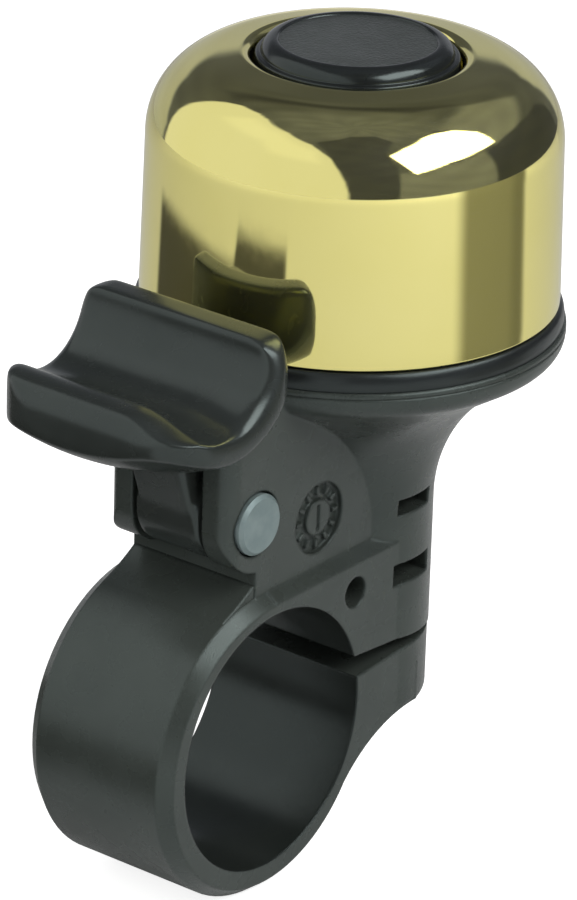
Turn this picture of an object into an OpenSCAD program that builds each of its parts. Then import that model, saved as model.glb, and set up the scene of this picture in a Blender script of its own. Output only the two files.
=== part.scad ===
// Bicycle bell with a thumb lever. A moulded housing clamps round the handlebar by a split ring,
// carries a polished brass dome on a central post, and hinges a lever whose inner arm flicks a
// hammer on a leaf spring against the inside of the dome.
// The origin is the centre of the clamp's bore. +Y runs along the handlebar, +Z is up and
// parallel to the dome's axis, and the lever is on the -X side.

/* [Handlebar clamp] */
// Diameter of the handlebar that the ring grips
bar_d = 22.2; // [21:0.1:23]
// Radial room between the bar and the ring while the screw is loose
bar_clearance = 0.25; // [0.1:0.05:0.5]
// Wall of the ring
ring_wall = 2.1; // [1.6:0.05:3]
// Width of the ring along the handlebar, and diameter of the column above it
clamp_w = 15; // [14:0.5:18]
// Height of the bevel along the outer edges of the ring
ring_bevel = 0.9; // [0.4:0.1:1.2]
// Width of that bevel along the handlebar
bevel_run = 1.2; // [0.6:0.1:1.6]
// Height of the split between the lugs above the bore's centre
split_z = 2.6; // [1.8:0.1:3.2]
// Opening of the split at the bore
split_gap = 2.4; // [1.6:0.1:2.8]
// Opening of the split at the outer end of the lugs
split_tip_gap = 0.3; // [0.2:0.1:0.8]
// Thickness of the lower lug, from the split to its flat underside
lug_t = 7; // [6.5:0.25:8]
// Radius of the hollow curve from the lower lug back to the ring
lug_fillet_r = 12.5; // [8:0.5:14]
// Radius of the small coring hole through the clamp block
coring_r = 1.38; // [0.8:0.05:1.6]

/* [Housing] */
// Distance of the pin behind the bore's centre line
pin_x = -1.5; // [-2:0.1:-1]
// Height of the pin above the slot's floor
pin_over_floor = 5.7; // [5.4:0.1:6.2]
// Height of the dome's lip above the pin
pin_to_lip = 12.85; // [12.5:0.05:14]
// Setback of the dome's front edge from the pin
dome_setback = 2.2; // [1.8:0.1:2.8]
// Diameter of the column under the dome
column_d = 15.4; // [15:0.1:16]
// Radius of the hollow curve from the column into the flare
flare_r = 14; // [12:0.5:15]
// Slope of the flare's underside from the horizontal, in degrees
flare_angle = 32.3; // [31:0.1:34]
// How far the flange reaches past the dome's lip
flange_overhang = 0.6; // [0.3:0.1:1]
// Height of the flange's upright rim
rim_t = 0.2; // [0.1:0.05:0.5]
// Radius of the rounded corner under the flange's rim
rim_corner_r = 2.1; // [1.5:0.1:2.5]
// How far the trim ring stands back from the flange's rim
trim_setback = 0.15; // [0:0.05:0.3]
// Height of the trim ring between the flange and the dome
trim_h = 2.1; // [1.6:0.1:2.4]
// Air gap between the trim ring and the dome's lip
lip_gap = 0.3; // [0.3:0.05:0.6]
// Room between the housing's spigot and the inside of the dome
spigot_gap = 0.9; // [0.6:0.1:1.2]
// Wall of that spigot
spigot_wall = 1.1; // [0.8:0.1:1.4]
// Wall of the hollow flare
body_wall = 2; // [1.5:0.1:2.5]
// Depth of the flare's hollow below the dome's lip
hollow_depth = 10; // [9:0.5:11]
// Radius of the central post that carries the dome
post_r = 3.2; // [2.8:0.1:3.6]
// Radius of the ears' rounded noses in front of the pin
ear_nose_r = 4.3; // [4:0.1:4.6]
// Distance between the ears' outer faces
ears_w = 12.8; // [12.4:0.1:13.2]
// Radius of the ears' upright front edges
ear_edge_r = 1.6; // [0.6:0.1:2]
// Radius of the moulding's date dial
dial_r = 3.1; // [2:0.1:3.3]
// Depth of the date dial's recess
dial_depth = 0.5; // [0.2:0.05:0.6]

/* [Dome] */
// Diameter of the dome at its lip
dome_d = 35; // [34.5:0.5:38]
// Height of the dome from its lip to its shoulder's top
dome_h = 20.6; // [19.5:0.1:24]
// Wall of the dome
dome_wall = 1.1; // [0.8:0.1:1.3]
// Radius lost from the lip to the shoulder
dome_taper = 0.3; // [0.1:0.1:0.6]
// Radius of the dome's rounded shoulder
shoulder_r = 6.9; // [5.5:0.1:7]
// Rise of the crown from the shoulder to the dish
crown_rise = 0.2; // [0:0.05:0.4]
// Radius of the dish in the top of the dome
dish_r = 8.7; // [8.4:0.1:8.8]
// Depth of the dish below the crown
dish_depth = 2.8; // [2.4:0.1:3.4]
// Radius of the rolled edge round the dish
dish_edge_r = 0.8; // [0.3:0.1:0.9]

/* [Cap] */
// Diameter of the cap over the dome screw
cap_d = 15.9; // [15:0.1:16]
// Room between the cap's skirt and the wall of the dish
skirt_gap = 0.3; // [0.25:0.05:0.5]
// Height of the cap's top above the crown
cap_rise = 1.05; // [0.8:0.05:1.6]
// Wall of the cap
cap_wall = 1; // [0.7:0.1:1.1]
// Radius of the cap's rounded top edge
cap_edge_r = 1.25; // [0.6:0.05:1.4]
// Radius of the cap's sunk grained face
cap_face_r = 6.45; // [5.5:0.05:6.5]

/* [Lever] */
// Diameter of the hinge pin's head, seen in the near ear
pin_head_d = 5.2; // [4.8:0.1:5.4]
// Diameter of the hinge pin's shank
pin_d = 3.6; // [3.2:0.1:3.8]
// How far each end of the pin stands out of its ear
pin_proud = 0.5; // [0.3:0.1:0.8]
// Radius of the lever's hub
hub_r = 3.9; // [3.8:0.1:4.2]
// Width of the lever's hub between the ears
hub_w = 6.7; // [6.2:0.1:7]
// Width of the arms that leave the hub
arm_w = 5.7; // [5:0.1:6]
// Angle that the lever turns through when it is pressed, in degrees
stroke = 16; // [12:0.5:16.5]
// Width of the thumb paddle along the handlebar
paddle_w = 20.8; // [18:0.2:24]
// Offset of the paddle's middle along the handlebar
paddle_y = -0.45; // [-1:0.05:0]
// Height of the thumb groove's axis above the pin
groove_h = 17.1; // [16.8:0.1:17.5]
// Distance of that axis in front of the pin
groove_out = 8.5; // [8.2:0.1:9]
// Height of the paddle's back edge above the groove's axis
back_rise = 0.7; // [0.4:0.1:1]
// Depth of the paddle's front lip below the groove's axis
lip_drop = 3.3; // [3:0.1:3.6]
// Reach of the paddle in front of the groove's axis
front_reach = 6.8; // [6.4:0.1:7.2]
// Radius of the thumb groove along the top of the paddle
groove_r = 4.9; // [4.5:0.1:5.2]
// Thickness of the paddle under the groove at its near end
paddle_t = 2.8; // [2:0.1:3.2]
// Extra depth of the boat-shaped belly at the middle of the paddle
belly_drop = 2.6; // [1.5:0.1:3]
// Offset of the belly's deepest point from the paddle's middle
belly_y = 2; // [0:0.1:2.5]
// Radius of the paddle's two front corners, seen from above
paddle_front_r = 5.2; // [3:0.2:5.4]
// Radius of the paddle's two back corners, seen from above
paddle_back_r = 2.2; // [1:0.2:3]

/* [Striker] */
// Thickness of the leaf spring
leaf_t = 0.4; // [0.3:0.05:0.5]
// Width of the leaf spring
leaf_w = 4; // [3.4:0.2:4.4]
// Diameter of the hammer
hammer_d = 5.5; // [4.5:0.1:6]
// Height of the inner arm's elbow above the pin when it strikes
elbow_h = 8.9; // [8.6:0.1:9.1]
// Length of the hammer from its striking face to the leaf
hammer_l = 3.8; // [3.2:0.1:4]
// Height of the hammer's axis above the pin when it strikes
hammer_h = 20.9; // [20.4:0.1:21.4]
// Room between the hammer and the dome with the lever held down
strike_gap = 0.8; // [0.7:0.05:1]
// Diameter of the return spring's wire
wire_d = 0.6; // [0.4:0.05:0.6]
// Number of full turns of the return spring
coil_turns = 3; // [1:1:3]

/* [Fasteners] */
// Diameter of the dome's machine screw
dome_screw_d = 2.5; // [2:0.1:2.6]
// Diameter of the clamp's machine screw
clamp_screw_d = 3; // [2.5:0.1:3.2]
// Length of both rectangular nuts, into the housing
nut_l = 5.5; // [5:0.1:6]
// Width of the dome screw's nut
dome_nut_w = 4; // [3.8:0.1:4.2]
// Thickness of the dome screw's nut
dome_nut_t = 1.3; // [1.1:0.1:1.6]
// Width of the clamp screw's nut
clamp_nut_w = 4.7; // [4.5:0.1:5]
// Thickness of the clamp screw's nut
clamp_nut_t = 1.75; // [1.5:0.05:1.9]
// Diameter of the clamp screw's button head
clamp_head_d = 5.7; // [5:0.1:6]
// Thickness of the steel washers
washer_t = 0.6; // [0.4:0.1:0.7]
// Radius of the dome screw's steel washer, which also centres the cap
dome_washer_r = 4; // [3.8:0.1:4.3]
// Diameter of the dome screw's button head
dome_head_d = 5; // [4.6:0.1:5.4]
// Radius of the fibre washer under the dome
fibre_r = 5; // [4.5:0.1:5.5]
// Thickness of the fibre washer
fibre_t = 1; // [0.6:0.1:1.5]

/* [Hidden] */
$fn = 96;

// Clearances
hinge_play = 0.05;
hub_gap = 0.35;
side_gap = 0.3;
leaf_gap = 0.3;
screw_play = 0.1;
thread_play = 0.05;
nut_play = 0.1;
head_play = 0.5;
spring_play = 0.3;
coil_play = 0.25;
coil_gap = 0.05;
over = 1;

// Clamp: the ring's outside is a little off the bore's centre, so that it is thickest where it bends
bore_r = bar_d / 2 + bar_clearance;
ring_r = bore_r + ring_wall;
ring_c = [-0.25, -0.4];
ring_top = ring_r + ring_c[1];
half_w = clamp_w / 2;
lug_z = split_z - lug_t;
lug_r = half_w + 0.1;
lug_edge_r = 1.4;
ledge_drop = 0.8;

// Lever hinge and dome axis
pin_r = pin_d / 2;
pin_head_r = pin_head_d / 2;
slot_floor = ring_top + 0.85;
pin_z = slot_floor + pin_over_floor;
dome_r = dome_d / 2;
dome_x = pin_x + dome_r + dome_setback;
lip_z = pin_z + pin_to_lip;
slot_w = hub_w + 2 * side_gap;
ear_t = (ears_w - slot_w) / 2;
pin_head_l = ear_t - 0.5;

// Flange and trim ring, measured from the dome's lip
col_r = column_d / 2;
flange_r = dome_r + flange_overhang;
trim_top = -lip_gap;
flange_top = trim_top - trim_h;
trim_r = flange_r - trim_setback;
spigot_r = dome_r - dome_wall - spigot_gap;
hollow_r = spigot_r - spigot_wall;

// Dome heights, measured from its lip
crown_z = dome_h + crown_rise;
dish_z = crown_z - dish_depth;
post_top = dish_z - dome_wall - fibre_t;
cap_top = crown_z + cap_rise;
cap_face_drop = 0.15;

// Screw stacks on the dome's axis
dome_hole_r = dome_screw_d / 2 + screw_play;
clamp_hole_r = clamp_screw_d / 2 + screw_play;
dome_nut_z = ring_top + 2.3;
clamp_nut_z = ring_top - 3.85;
head_pocket_r = clamp_head_d / 2 + head_play;
clamp_seat_z = lug_z + 2.7;

// Thumb groove, placed from the pin
groove_x = pin_x - groove_out;
groove_z = pin_z + groove_h;
lip_top_z = groove_z - lip_drop;
back_top_z = groove_z + back_rise;
paddle_back_x = groove_x + groove_r + paddle_t;
paddle_front_x = groove_x - front_reach;
shell_r = groove_r + paddle_t;
belly_r = shell_r + belly_drop;

// Striker, placed from the pin with the lever held down
wall_at_hammer = dome_r - dome_taper - dome_wall;
hammer_face = dome_x - wall_at_hammer - pin_x + strike_gap;
leaf_front = hammer_face + hammer_l;
leaf_mid = leaf_front + leaf_t / 2;
arm_half = 1.5;
arm_front = leaf_mid - arm_half;
arm_back = leaf_mid + arm_half;
arm_top = pin_to_lip - 0.9;
rivet_h = arm_top - 1.8;
rivet_r = 0.7;
leaf_top = hammer_h + hammer_d / 2 - 0.6;
leaf_root = rivet_h - 1.8;
stem_r = 1;

// Return spring
coil_r = pin_r + wire_d / 2 + coil_play;
coil_pitch = wire_d + coil_gap;
coil_room = 3.2;
coil_pocket_r = coil_r + wire_d / 2 + spring_play;

// Extrudes an outline drawn in X and Z evenly to both sides of the middle plane.
module across(w) {
    rotate([90, 0, 0])
        linear_extrude(height = w, center = true)
            children();
}

// A shaft or bore along the handlebar's direction.
module cross_shaft(x, z, r, w) {
    translate([x, 0, z])
        rotate([90, 0, 0])
            cylinder(r = r, h = w, center = true);
}

// Turns what is drawn about the pin, from the held-down lever back to rest.
module at_rest() {
    translate([pin_x, 0, pin_z])
        rotate([0, stroke, 0])
            children();
}

// ---- Housing ----

module clamp_ring() {
    translate([ring_c[0], 0, ring_c[1]])
        rotate([90, 0, 0])
            rotate_extrude()
                polygon([
                    [bore_r - over, -half_w], [ring_r - ring_bevel, -half_w], [ring_r, bevel_run - half_w],
                    [ring_r, half_w - bevel_run], [ring_r - ring_bevel, half_w], [bore_r - over, half_w]
                ]);
}

// Block from the ring to the column, with the ring's bevel carried along its top as a ledge.
module clamp_block() {
    ledge = ears_w / 2;
    rotate([90, 0, 90])
        linear_extrude(height = dome_x)
            polygon([
                [-half_w, lug_z], [half_w, lug_z], [half_w, ring_top - ledge_drop],
                [ledge, ring_top], [-ledge, ring_top], [-half_w, ring_top - ledge_drop]
            ]);
}

// Web from the ring to the lower lug.
lug_curve_z = lug_z - lug_fillet_r;
lug_reach = ring_r + lug_fillet_r - 0.06;
lug_curve_x = ring_c[0] + sqrt(pow(lug_reach, 2) - pow(lug_curve_z - ring_c[1], 2));
lug_touch = ring_c + ([lug_curve_x, lug_curve_z] - ring_c) * ring_r / lug_reach;

module clamp_web() {
    across(clamp_w)
        polygon([[0, 0], lug_touch, [lug_curve_x, lug_curve_z], [lug_curve_x, lug_z], [lug_curve_x, 0]]);
}

// The hollow curve under the lower lug; it widens at both ends to leave the ring's bevel.
module under_lug_curve() {
    outer = half_w + over;
    wide = lug_fillet_r + ring_bevel * (bevel_run + over) / bevel_run;
    translate([lug_curve_x, 0, lug_curve_z])
        rotate([90, 0, 0])
            rotate_extrude($fn = 160)
                polygon([
                    [0, -outer], [wide, -outer], [lug_fillet_r, bevel_run - half_w],
                    [lug_fillet_r, half_w - bevel_run], [wide, outer], [0, outer]
                ]);
}

// Everything in the block that lies between the ring and that curve is taken away.
module under_lug_cut() {
    under_lug_curve();
    across(clamp_w + 2 * over)
        polygon([[0, 0], lug_touch, [0, lug_curve_z]]);
}

module lower_lug() {
    translate([dome_x, 0, 0])
        rotate_extrude()
            union() {
                translate([0, lug_z])
                    square([lug_r - lug_edge_r, split_z - lug_z]);
                translate([0, lug_z + lug_edge_r])
                    square([lug_r, split_z - lug_z - lug_edge_r]);
                intersection() {
                    translate([lug_r - lug_edge_r, lug_z + lug_edge_r])
                        circle(r = lug_edge_r);
                    translate([lug_r - lug_edge_r, lug_z])
                        square(lug_edge_r);
                }
            }
}

// Outer line of the column and flare, as radius and height above the dome's lip. It is drawn from
// the rim inwards: rounded corner, straight slope, then the hollow curve into the column.
flare_way = [cos(flare_angle), sin(flare_angle)];
flare_up = [-sin(flare_angle), cos(flare_angle)];
rim_c = [flange_r - rim_corner_r, flange_top - rim_t];
rim_foot = rim_c - rim_corner_r * flare_up;
flare_run = (rim_foot[0] - col_r - flare_r - flare_r * flare_up[0]) / flare_way[0];
flare_foot = rim_foot - flare_run * flare_way;
flare_c = flare_foot - flare_r * flare_up;

module flare_outline() {
    difference() {
        union() {
            polygon([
                [0, flange_top], [flange_r, flange_top], [flange_r, rim_c[1]], rim_c, rim_foot, flare_foot,
                flare_c, [col_r, flare_c[1]], [0, flare_c[1]]
            ]);
            intersection() {
                translate(rim_c)
                    circle(r = rim_corner_r);
                polygon([rim_c, rim_foot, [flange_r, rim_foot[1]], [flange_r, rim_c[1]]]);
            }
        }
        translate(flare_c)
            circle(r = flare_r, $fn = 200);
    }
}

module column_and_flare() {
    translate([dome_x, 0, split_z])
        cylinder(r = col_r, h = lip_z + flare_c[1] - split_z + 0.01);
    translate([dome_x, 0, lip_z])
        rotate_extrude() {
            flare_outline();
            translate([hollow_r - over, flange_top - over])
                square([spigot_r - hollow_r + over, 2 * over]);
        }
}

module central_post() {
    translate([dome_x, 0, ring_top])
        cylinder(r = post_r, h = lip_z + post_top - ring_top);
}

module ears() {
    front = pin_x + 0.6 - ear_nose_r;
    back = dome_x;
    edge = ear_edge_r;
    under_flange = lip_z + flange_top - 0.65;
    low = slot_floor - 2 * over;
    difference() {
        intersection() {
            across(ears_w)
                union() {
                    translate([pin_x + 0.6, pin_z - 0.1])
                        circle(r = ear_nose_r);
                    polygon([
                        [pin_x, low], [pin_x, pin_z], [front, pin_z - 0.1], [front, pin_z + 6.6],
                        [dome_x - flange_r + 0.2, under_flange], [back, under_flange], [back, low]
                    ]);
                }
            translate([0, 0, low - over])
                linear_extrude(height = under_flange - low + 2 * over)
                    union() {
                        translate([front, edge - ears_w / 2])
                            square([back - front, ears_w - 2 * edge]);
                        translate([front + edge, -ears_w / 2])
                            square([back - front - edge, ears_w]);
                        for (side = [-1, 1])
                            translate([front + edge, side * (ears_w / 2 - edge)])
                                circle(r = edge);
                    }
        }
        across(slot_w)
            lever_slot();
    }
}

// Room between the ears for the hub and for the inner arm's sweep, from the pin. Its floor is a
// cradle round the hub.
module lever_slot() {
    cradle_r = hub_r + hub_gap;
    translate([pin_x, pin_z]) {
        circle(r = cradle_r);
        polygon([
            [-4 * hub_r, -pin_over_floor], [0, -pin_over_floor], [0, 0], [cradle_r, -1.5],
            [12.2, 4.2], [12.2, pin_to_lip], [-4 * hub_r, pin_to_lip]
        ]);
    }
}

// Window for the inner arm through the front of the flare.
module arm_window() {
    translate([pin_x, pin_z])
        polygon([
            [-hub_r, -1.5], [hub_r + hub_gap, -1.5], [12.2, 4.2], [13.4, 9], [13.4, pin_to_lip],
            [arm_front - 0.6, pin_to_lip], [arm_front - 0.6, 9.2], [-hub_r, 3.9]
        ]);
}

// Pocket in which the return spring's fixed leg rests.
module leg_pocket() {
    translate([pin_x, pin_z])
        polygon([[1, -pin_over_floor], [4.2, -pin_over_floor], [6.2, -4], [6.2, -1], [1, -1]]);
}

module flare_hollow() {
    foot = flare_c + (flare_r + body_wall) * flare_up;
    translate([dome_x, 0, lip_z])
        rotate_extrude()
            difference() {
                polygon([
                    [0, over], [hollow_r, over], [hollow_r, foot[1] + tan(flare_angle) * (hollow_r - foot[0])],
                    foot, [foot[0], -hollow_depth], [0, -hollow_depth]
                ]);
                translate(flare_c)
                    circle(r = flare_r + body_wall, $fn = 200);
            }
}

// Slot for a nut, open at the near side of the column.
module nut_slot(z, w, t) {
    reach = col_r + over;
    translate([dome_x - w / 2 - nut_play, -reach, z - t / 2 - nut_play])
        cube([w + 2 * nut_play, reach + nut_l / 2 + nut_play, t + 2 * nut_play]);
}

module split() {
    x0 = bore_r * 0.8;
    x1 = dome_x + 4.4;
    x2 = dome_x + col_r + over;
    across(clamp_w + 2 * over)
        polygon([
            [x0, split_z - split_gap / 2], [x1, split_z - split_tip_gap / 2], [x2, split_z - split_tip_gap / 2],
            [x2, split_z + split_tip_gap / 2], [x1, split_z + split_tip_gap / 2], [x0, split_z + split_gap / 2]
        ]);
}

// A recessed dial with plain ticks in the near ear, as moulders use for the month.
module date_dial() {
    ticks = 12;
    translate([pin_x + 8.2, dial_depth - ears_w / 2, pin_z - 2.2])
        rotate([90, 0, 0])
            difference() {
                cylinder(r = dial_r, h = over);
                difference() {
                    translate([0, 0, -over])
                        cylinder(r = dial_r * 0.5, h = over + dial_depth * 0.85);
                    translate([-0.2, -dial_r * 0.36, dial_depth * 0.3])
                        cube([0.4, dial_r * 0.72, over]);
                }
                for (k = [1:ticks])
                    rotate([0, 0, 360 * k / ticks])
                        translate([dial_r * 0.64, -0.17, -over])
                            cube([dial_r * 0.24, 0.34, over + dial_depth * 0.7]);
            }
}

// The near ear takes the pin's head, the far ear its shank.
module pin_hole() {
    cross_shaft(pin_x, pin_z, pin_r + hinge_play, ears_w + 2 * over);
    translate([pin_x, pin_head_l - ears_w / 2, pin_z])
        rotate([90, 0, 0])
            cylinder(r = pin_head_r + hinge_play, h = pin_head_l + over);
    translate([pin_x, 0.4 - ears_w / 2, pin_z])
        rotate([90, 0, 0])
            cylinder(r = pin_head_r + 0.2, h = over);
}

module housing() {
    color("#3b3f3d")
        difference() {
            union() {
                clamp_ring();
                difference() {
                    union() {
                        clamp_block();
                        clamp_web();
                        lower_lug();
                    }
                    under_lug_cut();
                }
                column_and_flare();
                ears();
                central_post();
            }
            cross_shaft(0, 0, bore_r, clamp_w + 2 * over);
            split();
            difference() {
                flare_hollow();
                central_post();
            }
            across(slot_w)
                arm_window();
            across(coil_room + 2 * spring_play)
                leg_pocket();
            pin_hole();
            cross_shaft(bore_r - 0.8, ring_top - 3.4, coring_r, clamp_w + 2 * over);
            nut_slot(dome_nut_z, dome_nut_w, dome_nut_t);
            nut_slot(clamp_nut_z, clamp_nut_w, clamp_nut_t);
            translate([dome_x, 0, dome_nut_z - 2.5])
                cylinder(r = dome_hole_r, h = lip_z + post_top);
            translate([dome_x, 0, lug_z - over])
                cylinder(r = clamp_hole_r, h = clamp_nut_z + 2.2 - lug_z + over);
            translate([dome_x, 0, lug_z - over])
                cylinder(r = head_pocket_r, h = clamp_seat_z - lug_z + over);
            date_dial();
        }
}

// Trim ring on the flange, round the housing's low spigot.
module trim_ring() {
    edge = 0.3;
    color("#151616")
        translate([dome_x, 0, lip_z])
            rotate_extrude()
                polygon([
                    [spigot_r + screw_play, flange_top], [trim_r, flange_top], [trim_r, trim_top - edge],
                    [trim_r - edge, trim_top], [spigot_r + screw_play, trim_top]
                ]);
}

// ---- Dome and what holds it ----

module bell_dome() {
    foot_r = dome_r - dome_taper;
    shoulder = min(shoulder_r, foot_r - dish_r - max(dish_edge_r, dome_wall));
    turn_x = foot_r - shoulder;
    turn_z = dome_h - shoulder;
    lip_edge = dish_r + dish_edge_r;
    inner = shoulder - dome_wall;
    color("#d9c35a")
        translate([dome_x, 0, lip_z])
            rotate_extrude()
                difference() {
                    union() {
                        polygon([
                            [dome_hole_r, 0], [dome_r, 0], [foot_r, turn_z], [turn_x, turn_z],
                            [turn_x, dome_h], [lip_edge, crown_z], [dome_hole_r, crown_z]
                        ]);
                        intersection() {
                            translate([turn_x, turn_z])
                                circle(r = shoulder, $fn = 128);
                            translate([turn_x, turn_z])
                                square(shoulder);
                        }
                    }
                    polygon([
                        [0, -over], [dome_r - dome_wall, -over], [dome_r - dome_wall, 0],
                        [foot_r - dome_wall, turn_z], [turn_x, turn_z], [turn_x, dome_h - dome_wall],
                        [dish_r + dome_wall, dome_h - dome_wall], [dish_r + dome_wall, dish_z - dome_wall],
                        [0, dish_z - dome_wall]
                    ]);
                    intersection() {
                        translate([turn_x, turn_z])
                            circle(r = inner, $fn = 128);
                        translate([turn_x, turn_z])
                            square(inner);
                    }
                    translate([0, dish_z])
                        square([dish_r, dome_h]);
                    difference() {
                        translate([dish_r - over, crown_z - dish_edge_r])
                            square([dish_edge_r + over, 2 * dish_edge_r]);
                        translate([lip_edge, crown_z - dish_edge_r])
                            circle(r = dish_edge_r);
                    }
                }
}

module dome_cap() {
    r = cap_d / 2;
    collar = dome_washer_r + thread_play;
    color("#2a2b2b")
        translate([dome_x, 0, lip_z])
            rotate_extrude()
                difference() {
                    union() {
                        translate([0, dish_z])
                            square([dish_r - skirt_gap, dish_depth - 0.1]);
                        translate([0, dish_z])
                            square([r, cap_top - cap_edge_r - dish_z]);
                        translate([0, dish_z])
                            square([r - cap_edge_r, cap_top - dish_z]);
                        intersection() {
                            translate([r - cap_edge_r, cap_top - cap_edge_r])
                                circle(r = cap_edge_r);
                            translate([r - cap_edge_r, cap_top - cap_edge_r])
                                square(cap_edge_r);
                        }
                    }
                    translate([0, dish_z - over])
                        square([collar, cap_top - cap_wall - dish_z + over]);
                    translate([collar + cap_wall, dish_z - over])
                        square([r - 2 * cap_wall - collar, cap_top - cap_wall - cap_edge_r / 2 - dish_z + over]);
                    translate([0, cap_top - cap_face_drop])
                        square([cap_face_r, over]);
                }
}

// Button-head screw with its head's underside at the origin and its shank along -Z.
module button_screw(d, head_d, shank) {
    head_h = head_d * 0.29;
    dome_ball = head_d * 0.75;
    difference() {
        union() {
            rotate_extrude()
                intersection() {
                    translate([0, head_h - dome_ball])
                        circle(r = dome_ball);
                    square([head_d / 2, head_h]);
                }
            translate([0, 0, -shank])
                cylinder(r = d / 2, h = shank + 0.1);
        }
        translate([0, 0, head_h - head_d * 0.17])
            cylinder(r = head_d * 0.2, h = head_h, $fn = 6);
    }
}

module dome_screw() {
    seat = dish_z + washer_t;
    color("#9a9c9e")
        translate([dome_x, 0, lip_z + seat])
            button_screw(dome_screw_d, dome_head_d, lip_z + seat - dome_nut_z + 2);
}

module ring_washer(r, hole, t) {
    difference() {
        cylinder(r = r, h = t);
        translate([0, 0, -over])
            cylinder(r = hole, h = t + 2 * over);
    }
}

module dome_washer() {
    color("#b4b6b8")
        translate([dome_x, 0, lip_z + dish_z])
            ring_washer(dome_washer_r, dome_hole_r, washer_t);
}

module fibre_washer() {
    color("#7a2f22")
        translate([dome_x, 0, lip_z + post_top])
            ring_washer(fibre_r, dome_hole_r, fibre_t);
}

module slot_nut(z, w, t, d) {
    translate([dome_x, 0, z])
        difference() {
            cube([w, nut_l, t], center = true);
            cylinder(r = d / 2 + thread_play, h = t + 2 * over, center = true);
        }
}

module dome_nut() {
    color("#a5a7a9")
        slot_nut(dome_nut_z, dome_nut_w, dome_nut_t, dome_screw_d);
}

// ---- Clamp fasteners ----

module clamp_nut() {
    color("#a5a7a9")
        slot_nut(clamp_nut_z, clamp_nut_w, clamp_nut_t, clamp_screw_d);
}

module clamp_screw() {
    color("#9a9c9e")
        translate([dome_x, 0, clamp_seat_z - washer_t])
            mirror([0, 0, 1])
                button_screw(clamp_screw_d, clamp_head_d, clamp_nut_z + 1.7 - clamp_seat_z + washer_t);
}

module clamp_washer() {
    color("#b4b6b8")
        translate([dome_x, 0, clamp_seat_z - washer_t])
            ring_washer(clamp_head_d / 2 + 0.15, clamp_hole_r, washer_t);
}

// ---- Lever ----

// Length of the paddle seen along the handlebar: a low lip in front and a high back.
module paddle_window() {
    low = groove_z - belly_r - over;
    polygon([
        [paddle_front_x, low], [paddle_back_x, low], [paddle_back_x, back_top_z],
        [groove_x + 2, back_top_z], [groove_x, lip_top_z], [paddle_front_x + 1.7, lip_top_z],
        [paddle_front_x + 0.8, lip_top_z - 0.3], [paddle_front_x, lip_top_z - 1.5]
    ]);
}

module paddle_plan() {
    half = paddle_w / 2;
    fr = paddle_front_r;
    br = paddle_back_r;
    translate([0, 0, groove_z - belly_r - over])
        linear_extrude(height = belly_r + 3 * over)
            union() {
                translate([paddle_front_x, fr - half])
                    square([paddle_back_x - paddle_front_x, paddle_w - 2 * fr]);
                translate([paddle_front_x + fr, br - half])
                    square([paddle_back_x - paddle_front_x - fr, paddle_w - 2 * br]);
                translate([paddle_front_x + fr, -half])
                    square([paddle_back_x - paddle_front_x - fr - br, paddle_w]);
                for (side = [-1, 1]) {
                    translate([paddle_front_x + fr, side * (half - fr)])
                        circle(r = fr);
                    translate([paddle_back_x - br, side * (half - br)])
                        circle(r = br);
                }
            }
}

// The shell is a barrel about the groove's axis, fattest a little beyond the paddle's middle.
module shell_barrel() {
    half = paddle_w / 2;
    reach = half + belly_y;
    boat_r = (reach * reach + belly_drop * belly_drop) / (2 * belly_drop);
    translate([groove_x, 0, groove_z])
        rotate([90, 0, 0])
            rotate_extrude($fn = 160)
                intersection() {
                    translate([belly_r - boat_r, -belly_y])
                        circle(r = boat_r, $fn = 320);
                    translate([0, -half])
                        square([belly_r + over, paddle_w]);
                }
}

module paddle() {
    translate([0, paddle_y, 0])
        difference() {
            intersection() {
                intersection() {
                    across(paddle_w + 2 * over)
                        paddle_window();
                    paddle_plan();
                }
                shell_barrel();
            }
            groove_cut();
        }
}

// The groove opens out at both ends, where the rim is rounded.
module groove_cut() {
    half = paddle_w / 2;
    flare = 0.9;
    translate([groove_x, 0, groove_z])
        rotate([90, 0, 0])
            rotate_extrude()
                polygon([
                    [0, -half - over], [groove_r + flare + over, -half - over], [groove_r, flare - half],
                    [groove_r, half - flare], [groove_r + flare + over, half + over], [0, half + over]
                ]);
}

module outer_arm() {
    front = groove_x + 2.6;
    across(arm_w)
        polygon([
            [pin_x - hub_r, pin_z - 0.2], [pin_x - hub_r - 0.2, pin_z + 1], [pin_x - hub_r - 1.7, pin_z + 5.4],
            [front, groove_z - shell_r], [groove_x + 6.2, groove_z - shell_r + 0.6],
            [pin_x + 0.3, pin_z + hub_r - 0.1], [pin_x, pin_z]
        ]);
}

module inner_arm() {
    lift = norm([arm_front, elbow_h]);
    top_way = atan2(elbow_h, arm_front) - asin(hub_r / lift);
    at_rest()
        across(arm_w)
            polygon([
                [0, 0], hub_r * [-sin(top_way), cos(top_way)], [arm_front, elbow_h], [arm_front, arm_top],
                [arm_back, arm_top], [arm_back, elbow_h - 1.3], [hub_r, 0.3]
            ]);
}

module thumb_lever() {
    color("#1b1c1d")
        difference() {
            union() {
                cross_shaft(pin_x, pin_z, hub_r, hub_w);
                outer_arm();
                inner_arm();
                paddle();
            }
            cross_shaft(pin_x, pin_z, pin_r + hinge_play, hub_w + 2 * over);
            cross_shaft(pin_x, pin_z, coil_pocket_r, coil_room);
            across(coil_room)
                translate([pin_x, pin_z])
                    polygon([[0, 0], [0.4, -hub_r - over], [hub_r + over, -hub_r - over], [hub_r + over, -0.8]]);
            spring_channel();
            at_rest() {
                translate([leaf_front - leaf_gap, -leaf_w / 2 - leaf_gap, leaf_root - leaf_gap])
                    cube([leaf_t + 2 * leaf_gap, leaf_w + 2 * leaf_gap, arm_top]);
                translate([0, 0, rivet_h])
                    rotate([0, 90, 0])
                        cylinder(r = rivet_r + hinge_play, h = arm_back + over);
            }
        }
}

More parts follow.
